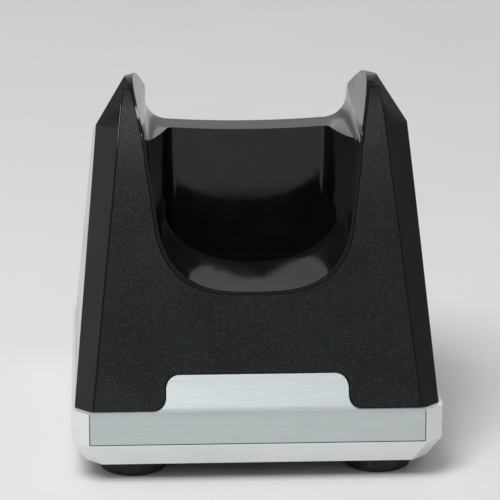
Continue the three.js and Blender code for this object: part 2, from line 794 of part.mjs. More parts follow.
add('contact_block', contactBlock(), finishes.mattBlack);
for (const [name, side] of [['left', -1], ['right', 1]]) {
  add(`contact_pin_${name}`, contactPin(side), finishes.brass);
  add(`contact_spring_${name}`, contactSpring(side), finishes.steel);
}

const pivotScrewSize = { headRadius: 2.9, headHeight: 1.6, shank: 1.5, bottom: 3.2, top: 30 };
add('pivot_hub', pivotHub(), finishes.mattBlack);
add('pivot_screw', screw(pivotAt, pivotScrewSize), finishes.steel);
add('swivel_dial', swivelDial(), finishes.silver);
add('inlet_drum', inletDrum(), finishes.mattBlack);
add('inlet_pin_left', inletPin(-1), finishes.steel);
add('inlet_pin_right', inletPin(1), finishes.steel);
add('friction_washer', tube([4.4, 5.7], [18.4, 19.3], pivotAt), finishes.rubber);
add('slip_ring_inner', slipRing(groove.inner), finishes.brass);
add('slip_ring_outer', slipRing(groove.outer), finishes.brass);
add('wiper_inner', wiper(30.3, 27.5), finishes.brass);
add('wiper_outer', wiper(24, 28), finishes.brass);

export default stand;
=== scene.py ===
import math

import bmesh
import bpy
import numpy as np
from mathutils import Matrix, Vector


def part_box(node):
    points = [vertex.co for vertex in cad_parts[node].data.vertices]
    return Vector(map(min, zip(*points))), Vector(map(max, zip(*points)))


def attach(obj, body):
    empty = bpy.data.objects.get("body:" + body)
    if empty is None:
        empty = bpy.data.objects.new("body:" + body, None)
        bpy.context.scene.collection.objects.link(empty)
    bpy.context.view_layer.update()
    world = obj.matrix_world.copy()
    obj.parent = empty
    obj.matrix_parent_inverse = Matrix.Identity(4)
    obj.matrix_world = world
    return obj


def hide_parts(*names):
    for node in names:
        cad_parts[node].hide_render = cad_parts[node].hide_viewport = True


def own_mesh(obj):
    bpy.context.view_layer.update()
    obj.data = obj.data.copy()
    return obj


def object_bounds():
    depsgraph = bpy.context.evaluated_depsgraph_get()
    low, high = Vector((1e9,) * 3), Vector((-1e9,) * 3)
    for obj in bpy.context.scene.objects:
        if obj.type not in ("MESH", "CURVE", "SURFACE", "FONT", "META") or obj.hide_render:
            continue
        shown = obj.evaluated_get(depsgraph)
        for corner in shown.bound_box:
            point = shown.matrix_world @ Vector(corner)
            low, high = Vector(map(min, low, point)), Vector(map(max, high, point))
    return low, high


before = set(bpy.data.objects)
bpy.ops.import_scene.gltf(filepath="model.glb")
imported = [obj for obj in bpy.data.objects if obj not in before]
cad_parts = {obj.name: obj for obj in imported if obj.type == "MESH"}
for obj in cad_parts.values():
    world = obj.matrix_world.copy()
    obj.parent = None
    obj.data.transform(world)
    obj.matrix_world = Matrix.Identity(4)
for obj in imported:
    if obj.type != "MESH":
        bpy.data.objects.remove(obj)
cad_low, cad_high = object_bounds()

# The charge stand's visible pieces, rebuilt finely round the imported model.
# Shapes are worked out in millimetres and scaled to metres when a piece is finished.

MM = 0.001


def box_mm(node):
    """A CAD node's lowest and highest corners."""
    low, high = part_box(node)
    return [c / MM for c in low], [c / MM for c in high]


def middle_of(node):
    low, high = box_mm(node)
    return (low[0] + high[0]) / 2, (low[1] + high[1]) / 2


def radius_of(node):
    low, high = box_mm(node)
    return (high[0] - low[0]) / 2


def heights_of(node):
    low, high = box_mm(node)
    return low[2], high[2]


# ---- sizes ----

ring_low, ring_high = box_mm("base_ring")
shell_high = box_mm("housing")[1]
cup_low, cup_high = box_mm("cradle_cup")
plate_low, plate_high = box_mm("nameplate")
dial_high = box_mm("swivel_dial")[1]

SIDES = ("left", "right")
ENDS = ("front", "rear")
BASE_SCREWS = [f"base_screw_{end}_{side}" for end in ENDS for side in SIDES]
PLATE_SCREWS = BASE_SCREWS + [f"ballast_screw_{side}_{end}" for end in ENDS for side in SIDES]

GAP = 0.3  # between neighbouring pieces
FAR = 60.0  # past the stand on every side

# Heights written as a number + LIFT were drawn with the ring's bottom at this height.
DRAWN_RING_BOTTOM = 2.9
LIFT = ring_low[2] - DRAWN_RING_BOTTOM

RING_HALF = ring_high[0]
RING_BOTTOM = ring_low[2]
RING_TOP = ring_high[2]
RING_BEVEL = RING_BOTTOM + 6.4
RING_BOTTOM_HALF = RING_HALF - 3.6
RING_WALL = 3.0
RING_CUT = 4.5

# The shell: half widths, corner cuts, the horns' tips, and the thickness of its walls.
SHELL_BOTTOM = RING_TOP + GAP
SHELL_TOP = shell_high[2]
SHELL_HALF = shell_high[0]
SHOULDER = SHELL_TOP - 11.3
SHOULDER_HALF = SHELL_HALF - 6.6
TIP_HALF = SHELL_HALF - 14.45
CUT_BOTTOM = 4.8
CUT_FRONT = 6.1
CUT_REAR = 15.8
TIP_REACH = 32.5
WALL = 2.2
COVER = 1.5
SHEET = 2.4
BORDER = 0.85
PEAK_Y = -2.3
BACK_CORNER = (27.8, SHELL_TOP - 10.9)

WELL_REAR = cup_high[1] - WALL
WELL_FRONT = cup_low[1] + WALL
WELL_HALF = 23.1
WELL_CORNER = 3.0
WELL_FLOOR = cup_low[2] + WALL
WELL_SPLIT = cup_high[2] + GAP

LIP_OUTER = (-34.2, 48.2 + LIFT)
LIP_INNER = 50.9 + LIFT
DEEP_WELL_TOP = LIP_INNER + 15.5

# The rim between the horns: almost flat in the middle, with rounded ends that rise to the horns.
RIM_CENTRE = 80.2 + LIFT
RIM_SIDE = 81.0 + LIFT
RIM_FLAT = 22.0
RIM_HALF = 28.5
RIM_TAPER = 0.0244
RIM_RISE = 6.2
RIM_FALL = 0.13

# The inlet in the rear right corner. The drum, its skirt and the hub share one axis.
DIAL_AT = middle_of("swivel_dial")
DIAL_RADIUS = dial_high[0] - DIAL_AT[0]
HUB_FLANGE_RADIUS = box_mm("pivot_hub")[1][0] - DIAL_AT[0]
HUB_FLANGE = 2.0
HUB_RADIUS = 4.0
SWIVEL_BORE = HUB_RADIUS + 0.4
DRUM_RADIUS = box_mm("inlet_drum")[1][0] - DIAL_AT[0]
DRUM_BOTTOM, DRUM_TOP = heights_of("inlet_drum")
DRUM_STEP = DRUM_BOTTOM + 2.2
MOUTH_BACK = DRUM_RADIUS - 9
MOUTH_HALF = 6.5
MOUTH_WALL = 0.6


# ---- mesh tools ----

# A face's tag is its material slot until the piece is finished. Where two tags meet, tidy()
# keeps the seam.
TAGS = 6
WELL_TAG, SCOOP_TAG, SADDLE_TAG = 1, 2, 3


def new_object(name, points, faces, tag=0):
    mesh = bpy.data.meshes.new(name)
    mesh.from_pydata([tuple(map(float, p)) for p in points], [], faces)
    for _ in range(TAGS):
        mesh.materials.append(None)
    mesh.polygons.foreach_set("material_index", [tag] * len(mesh.polygons))
    outward(mesh)
    obj = bpy.data.objects.new(name, mesh)
    bpy.context.scene.collection.objects.link(obj)
    return obj


def outward(mesh):
    """Turns all faces outwards."""
    work = bmesh.new()
    work.from_mesh(mesh)
    bmesh.ops.recalc_face_normals(work, faces=work.faces)
    if work.calc_volume(signed=True) < 0:
        bmesh.ops.reverse_faces(work, faces=work.faces)
    work.to_mesh(mesh)
    work.free()


AXIS_RADIUS = 1e-3


def loft(name, rings, tag=0, closed=False):
    """Rings of points with the same count, joined in turn: capped, or closed into a loop."""
    count = len(rings[0])
    points = [p for ring in rings for p in ring]
    pairs = [(r, r + 1) for r in range(len(rings) - 1)]
    if closed:
        pairs.append((len(rings) - 1, 0))
    faces = []
    for lower, upper in pairs:
        for i in range(count):
            j = (i + 1) % count
            faces.append((lower * count + i, lower * count + j, upper * count + j, upper * count + i))
    if not closed:
        faces.append(tuple(reversed(range(count))))
        faces.append(tuple((len(rings) - 1) * count + i for i in range(count)))
    return new_object(name, points, faces, tag)


def turned(name, profile, at=(0.0, 0.0), facets=96):
    """A piece turned about a vertical axis from a closed (radius, height) profile."""
    turn = np.arange(facets) / facets * 2 * math.pi
    rings = []
    for radius, height in profile:
        r = max(radius, AXIS_RADIUS)
        rings.append([(at[0] + r * math.cos(a), at[1] + r * math.sin(a), height) for a in turn])
    return loft(name, rings, closed=True)


def block(name, low, high):
    x0, y0, z0 = low
    x1, y1, z1 = high
    ring = [(x0, y0), (x1, y0), (x1, y1), (x0, y1)]
    return loft(name, [[(x, y, z0) for x, y in ring], [(x, y, z1) for x, y in ring]])


def prism(name, outline, low, high, axis, tag=0):
    """A flat outline carried along Y (outline in x, z) or Z (outline in x, y)."""
    if axis == "Y":
        rings = [[(x, level, z) for x, z in outline] for level in (low, high)]
    else:
        rings = [[(x, y, level) for x, y in outline] for level in (low, high)]
    return loft(name, rings, tag)


def settle(obj):
    """Replaces the object's mesh by what its modifiers make of it."""
    graph = bpy.context.evaluated_depsgraph_get()
    mesh = bpy.data.meshes.new_from_object(obj.evaluated_get(graph))
    old = obj.data
    obj.modifiers.clear()
    obj.data = mesh
    bpy.data.meshes.remove(old)
    return obj


def combine(obj, tools, operation):
    for tool in tools:
        step = obj.modifiers.new("combine", "BOOLEAN")
        step.operation = operation
        step.solver = "EXACT"
        step.object = tool
        settle(obj)
        bpy.data.objects.remove(tool)
    return obj


def cut(obj, *tools):
    return combine(obj, tools, "DIFFERENCE")


def join(obj, *tools):
    return combine(obj, tools, "UNION")


def keep_inside(obj, *tools):
    return combine(obj, tools, "INTERSECT")


def tidy(obj, merge=0.02, flat=0.3):
    """Merges doubled points and dissolves the seams that booleans leave in flat faces."""
    work = bmesh.new()
    work.from_mesh(obj.data)
    bmesh.ops.remove_doubles(work, verts=work.verts, dist=merge)
    bmesh.ops.dissolve_degenerate(work, edges=work.edges, dist=merge)
    bmesh.ops.dissolve_limit(
        work, angle_limit=math.radians(flat), verts=work.verts, edges=work.edges, delimit={"MATERIAL"}
    )
    bmesh.ops.delete(work, geom=[e for e in work.edges if not e.link_faces], context="EDGES")
    bmesh.ops.delete(work, geom=[v for v in work.verts if not v.link_edges], context="VERTS")
    work.to_mesh(obj.data)
    work.free()
    return obj


def soften(obj, width, angle=24, segments=2):
    """Tidies the piece, then rounds the edges sharper than the angle."""
    tidy(obj)
    step = obj.modifiers.new("round", "BEVEL")
    step.limit_method = "ANGLE"
    step.angle_limit = math.radians(angle)
    step.width = width
    step.segments = segments
    step.use_clamp_overlap = True
    step.miter_outer = "MITER_ARC"
    settle(obj)
    return obj


def keep_creases(mesh, angle=28):
    """Marks the edges that are still sharper than the angle, so that shading stops at them."""
    work = bmesh.new()
    work.from_mesh(mesh)
    for edge in work.edges:
        edge.smooth = edge.calc_face_angle(0.0) < math.radians(angle)
    work.to_mesh(mesh)
    work.free()


def finish_piece(obj, material, body, slot, *nodes):
    """Scales a piece to metres, shades it and rides it on its body in place of its CAD nodes."""
    obj.name = nodes[0] + "_detail"
    obj.data.transform(Matrix.Scale(MM, 4))
    obj.data.materials.clear()
    obj.data.materials.append(material)
    count = len(obj.data.polygons)
    obj.data.polygons.foreach_set("material_index", [0] * count)
    obj.data.polygons.foreach_set("use_smooth", [True] * count)
    keep_creases(obj.data)
    weigh = obj.modifiers.new("weigh", "WEIGHTED_NORMAL")
    weigh.keep_sharp = True
    settle(obj)
    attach(obj, body)
    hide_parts(*nodes)
    return obj


def bezier(points, count=240):
    """Points along the cubic curve with these four control points."""
    t = np.linspace(0, 1, count)[:, None]
    p = [np.array(q, float) for q in points]
    return (1 - t) ** 3 * p[0] + 3 * (1 - t) ** 2 * t * p[1] + 3 * (1 - t) * t**2 * p[2] + t**3 * p[3]


def mix(a, b, t):
    return a + (b - a) * t


def within(t):
    return min(1.0, max(0.0, t))


def quarter(steps, first=0):
    """Angles at even steps up to a right angle."""
    return [k / steps * math.pi / 2 for k in range(first, steps + 1)]


ARC_SHARE = 0.42


def rounded(corners, radius, steps=4):
    """A flat polygon whose corners are replaced by arcs."""
    out = []
    count = len(corners)
    for i in range(count):
        corner = np.array(corners[i], float)
        before = np.array(corners[i - 1], float) - corner
        after = np.array(corners[(i + 1) % count], float) - corner
        reach_before, reach_after = np.linalg.norm(before), np.linalg.norm(after)
        before /= reach_before
        after /= reach_after
        half = math.acos(max(-1.0, min(1.0, float(before @ after)))) / 2
        reach = min(radius / math.tan(half), ARC_SHARE * reach_before, ARC_SHARE * reach_after)
        r = reach * math.tan(half)
        middle = before + after
        centre = corner + middle / np.linalg.norm(middle) * r / math.sin(half)
        start, end = corner + before * reach - centre, corner + after * reach - centre
        sweep = math.pi - 2 * half
        for k in range(steps + 1):
            t = k / steps
            arm = (math.sin((1 - t) * sweep) * start + math.sin(t * sweep) * end) / math.sin(sweep)
            out.append(tuple(centre + arm))
    return out


def cut_rectangle(half, front, rear, front_cut, rear_cut):
    """Plan of a box with its four corners cut at 45 degrees."""
    return [
        (-half + front_cut, front), (half - front_cut, front),
        (half, front + front_cut), (half, rear - rear_cut),
        (half - rear_cut, rear), (-half + rear_cut, rear),
        (-half, rear - rear_cut), (-half, front + front_cut),
    ]


# ---- the outer form of the shell ----

FRONT_CURVE = bezier([(-49, RING_TOP), (-33.5, 48 + LIFT), (-20, SHELL_TOP), (PEAK_Y, SHELL_TOP)])
CROWN_CURVE = bezier([BACK_CORNER, (20, 96 + LIFT), (10, SHELL_TOP), (PEAK_Y, SHELL_TOP)])
BACK_CURVE = bezier([(49, RING_TOP), (44.2, 40 + LIFT), (33.5, 74 + LIFT), BACK_CORNER])
REAR_CURVE = np.vstack([BACK_CURVE, CROWN_CURVE[1:]])


def front_y(z):
    return float(np.interp(z, FRONT_CURVE[:, 1], FRONT_CURVE[:, 0]))


def rear_y(z):
    return float(np.interp(z, REAR_CURVE[:, 1], REAR_CURVE[:, 0]))


def climb(z):
    """Share of the way up from the shell's bottom to its shoulder."""
    return (z - SHELL_BOTTOM) / (SHOULDER - SHELL_BOTTOM)


def half_width(z):
    return mix(SHELL_HALF, SHOULDER_HALF, climb(z))


def front_cut_at(z):
    return mix(CUT_BOTTOM, CUT_FRONT, climb(z))


CHAMFER_GROWTH = 1.6
TIP_ROUNDING = 0.63
TIP_SWELL = 0.195


def rear_reach(z):
    """The rear corner chamfers run at 45 degrees; this is x + y on them at height z."""
    if z <= SHOULDER:
        rear_cut = mix(CUT_BOTTOM, CUT_REAR, max(0.0, climb(z)) ** CHAMFER_GROWTH)
        return half_width(z) + rear_y(z) - rear_cut
    at_shoulder = SHOULDER_HALF + rear_y(SHOULDER) - CUT_REAR
    left = 1 - within((z - SHOULDER) / (SHELL_TOP - SHOULDER))
    return mix(TIP_REACH, at_shoulder, left**TIP_ROUNDING + TIP_SWELL * left**4 * (1 - left))


CLOSE_FROM = 84
STEADY_LEVELS = 40
CLOSING_LEVELS = 30
CLOSING_POWER = 2.2


def levels(bottom, top):
    """Heights of the shell's sections: evenly spaced at first, closer together towards the top."""
    steady = np.linspace(bottom, CLOSE_FROM + LIFT, STEADY_LEVELS)[:-1]
    left = 1 - np.linspace(0, 1, CLOSING_LEVELS)
    closing = top - (top - CLOSE_FROM - LIFT) * left**CLOSING_POWER
    return [float(z) for z in np.concatenate([steady, closing])]


# Each horn's crown is two flat facets that meet at its tip. These points are the right horn's.
CREASE_LEVEL = SHELL_TOP - 5.4
FALL_LEVEL = SHELL_TOP - 17
CROWN_TIP = (TIP_HALF, PEAK_Y, SHELL_TOP)
CREASE_HALF = half_width(CREASE_LEVEL) - front_cut_at(CREASE_LEVEL)
CROWN_FRONT = (CREASE_HALF, front_y(CREASE_LEVEL), CREASE_LEVEL)
CROWN_SHOULDER = (SHOULDER_HALF, front_y(SHOULDER) + CUT_FRONT, SHOULDER)
CROWN_BEHIND = (half_width(FALL_LEVEL), 6.7, FALL_LEVEL)
FACETS = ((CROWN_TIP, CROWN_FRONT, CROWN_SHOULDER), (CROWN_TIP, CROWN_SHOULDER, CROWN_BEHIND))


def under(obj, points, depth):
    """Cuts away what lies above the plane through three points, moved inwards by depth."""
    a, b, c = (Vector(p) for p in points)
    normal = (b - a).cross(c - a).normalized()
    if normal.z < 0:
        normal.negate()
    work = bmesh.new()
    work.from_mesh(obj.data)
    everything = list(work.verts) + list(work.edges) + list(work.faces)
    cut_line = bmesh.ops.bisect_plane(
        work, geom=everything, dist=1e-5, plane_co=a - depth * normal, plane_no=normal, clear_outer=True
    )
    rim = [e for e in cut_line["geom_cut"] if isinstance(e, bmesh.types.BMEdge)]
    bmesh.ops.holes_fill(work, edges=rim)
    bmesh.ops.recalc_face_normals(work, faces=work.faces)
    work.to_mesh(obj.data)
    work.free()


# A form moved inwards by a depth takes each section from a little higher up the outer form,
# because the outer faces lean. These are shares of the depth.
SEEN_ABOVE = 0.7
TOP_DROP = 1.4
REACH_DROP = 1.5
CUT_DROP = 0.586


def within_rear_corners(depth):
    """The space between the two rear corner chamfers, from the front to where they would meet."""
    front, below, above = 70, SHELL_BOTTOM - 30, SHELL_TOP + 0.01
    rings = []
    for z in [below] + levels(SHELL_BOTTOM, above):
        seen = min(SHELL_TOP, max(z, SHELL_BOTTOM) + SEEN_ABOVE * depth)
        reach = rear_reach(seen) - REACH_DROP * depth
        rings.append([(-reach - front, -front, z), (reach + front, -front, z), (0, reach, z)])
    return loft("corners", rings)


THINNEST = 2.4
SMALL_CUT = 0.3
EDGE_ROUND = 0.55
EDGE_LEAST = 0.05
EDGE_FADE = 8


def dome(depth, bottom=SHELL_BOTTOM):
    """The shell's outer form, moved inwards by depth."""
    rings = []
    for z in levels(bottom, SHELL_TOP - TOP_DROP * depth):
        seen = min(SHELL_TOP, z + SEEN_ABOVE * depth)
        front = front_y(seen) + depth
        rear = max(front + THINNEST, rear_y(seen) - depth)
        room = (rear - front) / 2 - 2 * SMALL_CUT
        front_cut = min(room, max(SMALL_CUT, front_cut_at(seen) - CUT_DROP * depth))
        ring = cut_rectangle(half_width(seen) - depth, front, rear, front_cut, SMALL_CUT)
        edge = EDGE_ROUND * within((SHELL_TOP - z) / EDGE_FADE)
        rings.append([(x, y, z) for x, y in rounded(ring, max(EDGE_LEAST, edge))])
    form = keep_inside(loft("dome", rings), within_rear_corners(depth))
    for facet in FACETS:
        under(form, facet, depth)
        under(form, [(-x, y, z) for x, y, z in facet], depth)
    return form


# ---- the space that the clipper drops into ----

BOW_FROM = (0.4, -9.0)
BOW_SIDE_PULL = (1, -15.5)
BOW_FRONT_PULL = 15


def well_plan(grow):
    """Plan of the deep well: flat back with rounded corners, bowed front."""
    half, rear, front = WELL_HALF + grow, WELL_REAR + grow, WELL_FRONT - grow
    corner = WELL_CORNER + grow
    right = [(0.0, rear)]
    for turn in quarter(8):
        right.append((half - corner + corner * math.sin(turn), rear - corner + corner * math.cos(turn)))
    start = (half + BOW_FROM[0], BOW_FROM[1])
    side_pull = (half + BOW_SIDE_PULL[0], BOW_SIDE_PULL[1] - grow)
    bow = bezier([start, side_pull, (BOW_FRONT_PULL + grow, front), (0, front)], 28)
    right += [start] + [tuple(p) for p in bow[1:]]
    left = [(-x, y) for x, y in reversed(right[1:-1])]
    return right + left


def rim_half(y):
    """Half width of the rim between the horns."""
    return RIM_HALF + RIM_TAPER * (BACK_CORNER[0] - y)


def scoop_half(h, foot, flare, round_height, power):
    """Half width of a U section at height h above its bottom."""
    low = 1 - within(h / round_height)
    return (foot + flare * h) * (1 - low**power) ** (1 / power)


# The U sections: half width at the foot, flare, height of the rounded part, and its power.
FRONT_SCOOP = (24.2, 0.15, 20.0, 3.0)
INNER_SCOOP = (22.5, 0.20, 14.0, 2.2)
REAR_SCOOP = (23.1, 0.0, 14.0, 2.2)
SCOOP_STEPS = 34
SCOOP_HEIGHTS = [62 * (k / SCOOP_STEPS) ** 2.3 for k in range(1, SCOOP_STEPS + 1)]
SCOOP_INSIDE_RIM = 0.8


def scoop_ring(y, bottom, a, b, t, grow, limit=1000.0):
    """A section of the scoop: between the sections a and b, by the share t."""
    limit = min(limit, rim_half(y) + grow - SCOOP_INSIDE_RIM)
    right = []
    for h in SCOOP_HEIGHTS:
        x = mix(scoop_half(h, *a), scoop_half(h, *b), t)
        right.append((min(x + grow, limit), y, bottom + h - grow))
    left = [(-x, y, z) for x, y, z in reversed(right)]
    return left + right


def scoop(grow):
    """The U opening, from in front of the lip to the back of the well."""
    slope = (LIP_INNER - LIP_OUTER[1]) / (WELL_FRONT - LIP_OUTER[0])
    rings = []
    for y in (-FAR, LIP_OUTER[0]):
        bottom = LIP_OUTER[1] + slope * (y - LIP_OUTER[0])
        rings.append(scoop_ring(y, bottom, FRONT_SCOOP, FRONT_SCOOP, 0, grow))
    for t in np.linspace(0, 1, 7)[1:]:
        y = mix(LIP_OUTER[0], WELL_FRONT, t)
        rings.append(scoop_ring(y, mix(LIP_OUTER[1], LIP_INNER, t), FRONT_SCOOP, INNER_SCOOP, t, grow))
    turn_from = WELL_REAR - WELL_CORNER
    for t in np.linspace(0, 1, 12)[1:]:
        y = mix(WELL_FRONT, turn_from, t)
        rings.append(scoop_ring(y, LIP_INNER, INNER_SCOOP, REAR_SCOOP, t**1.4, grow))
    for turn in quarter(8, first=1):
        y = turn_from + (WELL_CORNER + grow) * math.sin(turn)
        limit = WELL_HALF - WELL_CORNER + (WELL_CORNER + grow) * math.cos(turn)
        rings.append(scoop_ring(y, LIP_INNER, REAR_SCOOP, REAR_SCOOP, 0, grow, limit))
    return loft("scoop", rings, SCOOP_TAG)


HORN_CREASE = 85.8
HORN_CREASE_RISE = 0.18
HORN_SPREAD = 0.2105
RIM_STEPS = 8


def saddle_ring(y, grow):
    """A section of the space between the horns: a rim with rounded ends, then bevelled sides."""
    half = rim_half(y) + grow
    drop = RIM_FALL * max(0.0, y - WELL_REAR)
    centre, side = RIM_CENTRE - drop - grow, RIM_SIDE - drop - grow
    crease = HORN_CREASE + LIFT + HORN_CREASE_RISE * y
    above = SHELL_TOP + 8.5
    spread = HORN_SPREAD * (above - crease)
    right = []
    for k in range(RIM_STEPS + 1):
        x = RIM_FLAT * k / RIM_STEPS
        right.append((x, mix(centre, side, (k / RIM_STEPS) ** 2)))
    for turn in quarter(12, first=1):
        x = mix(RIM_FLAT, half, math.sin(turn))
        right.append((x, side + RIM_RISE * (1 - math.cos(turn))))
    top = max(crease, side + RIM_RISE + 0.2)
    right += [(half, top), (half + spread, above)]
    left = [(-x, z) for x, z in reversed(right[1:])]
    return [(x, y, z) for x, z in left + right]


def saddle(grow):
    """The space between the horns, straight through from front to rear."""
    rings = [saddle_ring(y, grow) for y in (-FAR / 2, WELL_REAR - 0.5, FAR)]
    return loft("saddle", rings, SADDLE_TAG)


def clipper_space(grow, bottom):
    """Everything that is open to the clipper, wider by grow on every side."""
    deep = prism("deep", well_plan(grow), bottom, DEEP_WELL_TOP, "Z", WELL_TAG)
    return join(deep, scoop(grow), saddle(grow))


# ---- covers and nameplate ----

def face_half(front, z):
    """Half width of the flat front face, or of the rear face, at height z."""
    if not front:
        return rear_reach(z) - rear_y(z)
    if z < CREASE_LEVEL:
        return half_width(z) - front_cut_at(z)
    return mix(CREASE_HALF, TIP_HALF, (z - CREASE_LEVEL) / (SHELL_TOP - CREASE_LEVEL))


def between_chamfers(front, margin, bottom, top):
    """The space in front of (or behind) the shell, between its corner chamfers."""
    front_end, rear_start = PEAK_Y - 2, 12
    y0, y1 = (-FAR, front_end) if front else (rear_start, FAR)
    rings = []
    for z in [z for z in levels(bottom, SHELL_TOP) if z < top] + [top]:
        half = face_half(front, max(z, SHELL_BOTTOM)) - margin
        rings.append([(-half, y0, z), (half, y0, z), (half, y1, z), (-half, y1, z)])
    return loft("between", rings)


TAB_HALF = 24.5
TAB_RADIUS = 3.5
STRIP_ABOVE_RING = 0.2


def arc(centre, radius, start, end, steps=10):
    out = []
    for k in range(steps + 1):
        a = math.radians(mix(start, end, k / steps))
        out.append((centre[0] + radius * math.cos(a), centre[1] + radius * math.sin(a)))
    return out


def plate_outline(margin):
    """The nameplate's outline seen from the front: a long strip with a tab above it."""
    half, tab = plate_high[0] + margin, TAB_HALF + margin
    top, step = plate_high[2] + margin, RING_TOP + STRIP_ABOVE_RING + margin
    r = TAB_RADIUS
    right = [(half, plate_low[2] - margin), (half, step)]
    right += arc((tab + r, step + r), r, 270, 180)
    right += arc((tab - r, top - r), r, 0, 90)
    left = [(-x, z) for x, z in reversed(right)]
    return right + left


PLATE_ROOM_DEPTH = 1.9
IN_FRONT = (-FAR, -FAR / 2)


def plate_room():
    """The shallow seat of the nameplate in the ring, the shell and the front cover."""
    room = prism("plate_room", plate_outline(GAP), *IN_FRONT, "Y")
    behind = block("behind", (-FAR, plate_low[1] + PLATE_ROOM_DEPTH, 0), (FAR, 0, RING_TOP + 0.1))
    return cut(room, behind, dome(PLATE_ROOM_DEPTH, SHELL_BOTTOM - 2))


COVER_TOP = {True: SHELL_TOP - 2.2, False: SHOULDER - 0.2}
COVER_MARGIN = 0.35
COVER_SLIT = 0.2


def cover_room(front):
    """The recess in the shell that a cover lies in, a slit wider than the cover."""
    margin, top = COVER_MARGIN - COVER_SLIT, COVER_TOP[front] + COVER_SLIT
    region = between_chamfers(front, margin, SHELL_BOTTOM - 1, top)
    space = clipper_space(BORDER - COVER_SLIT, WELL_SPLIT)
    return cut(region, dome(COVER + GAP, SHELL_BOTTOM - 3), space)


def cover(front):
    region = between_chamfers(front, COVER_MARGIN, SHELL_BOTTOM + 0.15, COVER_TOP[front])
    piece = keep_inside(dome(0), region)
    cut(piece, dome(COVER, SHELL_BOTTOM - 2), clipper_space(BORDER, WELL_SPLIT))
    return cut(piece, plate_room()) if front else piece


# ---- materials ----

# Places of a colour Mix node's sockets, whose names repeat.
MIX_COLOR_A, MIX_COLOR_B, MIX_COLOR_RESULT = 6, 7, 2


class Paint:
    """A material and short calls for the nodes that these finishes share; lengths in mm."""

    def __init__(self, name, color, rough, metal=0.0, specular=0.5):
        self.material = bpy.data.materials.new(name)
        self.material.use_nodes = True
        self.tree = self.material.node_tree
        self.shader = self.tree.nodes["Principled BSDF"]
        self.shader.inputs["Base Color"].default_value = (*color, 1)
        self.shader.inputs["Roughness"].default_value = rough
        self.shader.inputs["Metallic"].default_value = metal
        self.shader.inputs["Specular IOR Level"].default_value = specular
        self.place = self.tree.nodes.new("ShaderNodeTexCoord").outputs["Object"]

    def link(self, a, b):
        self.tree.links.new(a, b)

    def scaled(self, size):
        """Object coordinates in units of the size, which is one number or one for each axis."""
        sizes = (size,) * 3 if isinstance(size, (int, float)) else size
        node = self.tree.nodes.new("ShaderNodeMapping")
        node.inputs["Scale"].default_value = [1 / (s * MM) for s in sizes]
        self.link(self.place, node.inputs["Vector"])
        return node.outputs["Vector"]

    def noise(self, size, detail=2.0, rough=0.5):
        """Soft clouds of this size."""
        node = self.tree.nodes.new("ShaderNodeTexNoise")
        node.inputs["Scale"].default_value = 1
        node.inputs["Detail"].default_value = detail
        node.inputs["Roughness"].default_value = rough
        self.link(self.scaled(size), node.inputs["Vector"])
        return node.outputs["Fac"]

    def cells(self, size, output="Distance", feature="F1"):
        """Cells of this size: the distance from their middles or edges, or a colour for each."""
        node = self.tree.nodes.new("ShaderNodeTexVoronoi")
        node.feature = feature
        node.inputs["Scale"].default_value = 1
        self.link(self.scaled(size), node.inputs["Vector"])
        return node.outputs[output]

    def span(self, value, from_range, to_range):
        """The value carried from one range to another and held within it."""
        node = self.tree.nodes.new("ShaderNodeMapRange")
        self.link(value, node.inputs["Value"])
        for key, number in zip(("From Min", "From Max", "To Min", "To Max"), (*from_range, *to_range)):
            node.inputs[key].default_value = number
        return node.outputs["Result"]

    def math(self, operation, a, b):
        node = self.tree.nodes.new("ShaderNodeMath")
        node.operation = operation
        for value, socket in zip((a, b), node.inputs):
            if isinstance(value, (int, float)):
                socket.default_value = value
            else:
                self.link(value, socket)
        return node.outputs["Value"]

    def blend(self, share, a, b):
        node = self.tree.nodes.new("ShaderNodeMix")
        node.data_type = "RGBA"
        self.link(share, node.inputs["Factor"])
        for value, key in ((a, MIX_COLOR_A), (b, MIX_COLOR_B)):
            if isinstance(value, tuple):
                node.inputs[key].default_value = (*value, 1)
            else:
                self.link(value, node.inputs[key])
        return node.outputs[MIX_COLOR_RESULT]

    def edges(self, reach, least=0.03, most=0.3):
        """How near a rounded edge is: 0 on flat faces, 1 on the edge itself. It masks the painted edge
        highlights.
        """
        soft = self.tree.nodes.new("ShaderNodeBevel")
        soft.samples = 4
        soft.inputs["Radius"].default_value = reach * MM
        plain = self.tree.nodes.new("ShaderNodeNewGeometry")
        turn = self.tree.nodes.new("ShaderNodeVectorMath")
        turn.operation = "DOT_PRODUCT"
        self.link(soft.outputs["Normal"], turn.inputs[0])
        self.link(plain.outputs["Normal"], turn.inputs[1])
        return self.span(turn.outputs["Value"], (1 - least, 1 - most), (0, 1))

    def share(self, value, low=0.35, high=0.65):
        return self.span(value, (low, high), (0, 1))

    def color(self, share, a, b):
        """Colour that goes from a to b with the share."""
        self.link(self.blend(share, a, b), self.shader.inputs["Base Color"])

    def rough(self, value, least, most, low=0.3, high=0.7):
        """Roughness that goes from least to most as the value goes from low to high."""
        self.link(self.span(value, (low, high), (least, most)), self.shader.inputs["Roughness"])

    def bump(self, *layers):
        """Layers are (height, depth in mm): each is stacked on the one before."""
        normal = None
        for height, depth in layers:
            node = self.tree.nodes.new("ShaderNodeBump")
            node.inputs["Distance"].default_value = depth * MM
            self.link(height, node.inputs["Height"])
            if normal:
                self.link(normal, node.inputs["Normal"])
            normal = node.outputs["Normal"]
        self.link(normal, self.shader.inputs["Normal"])


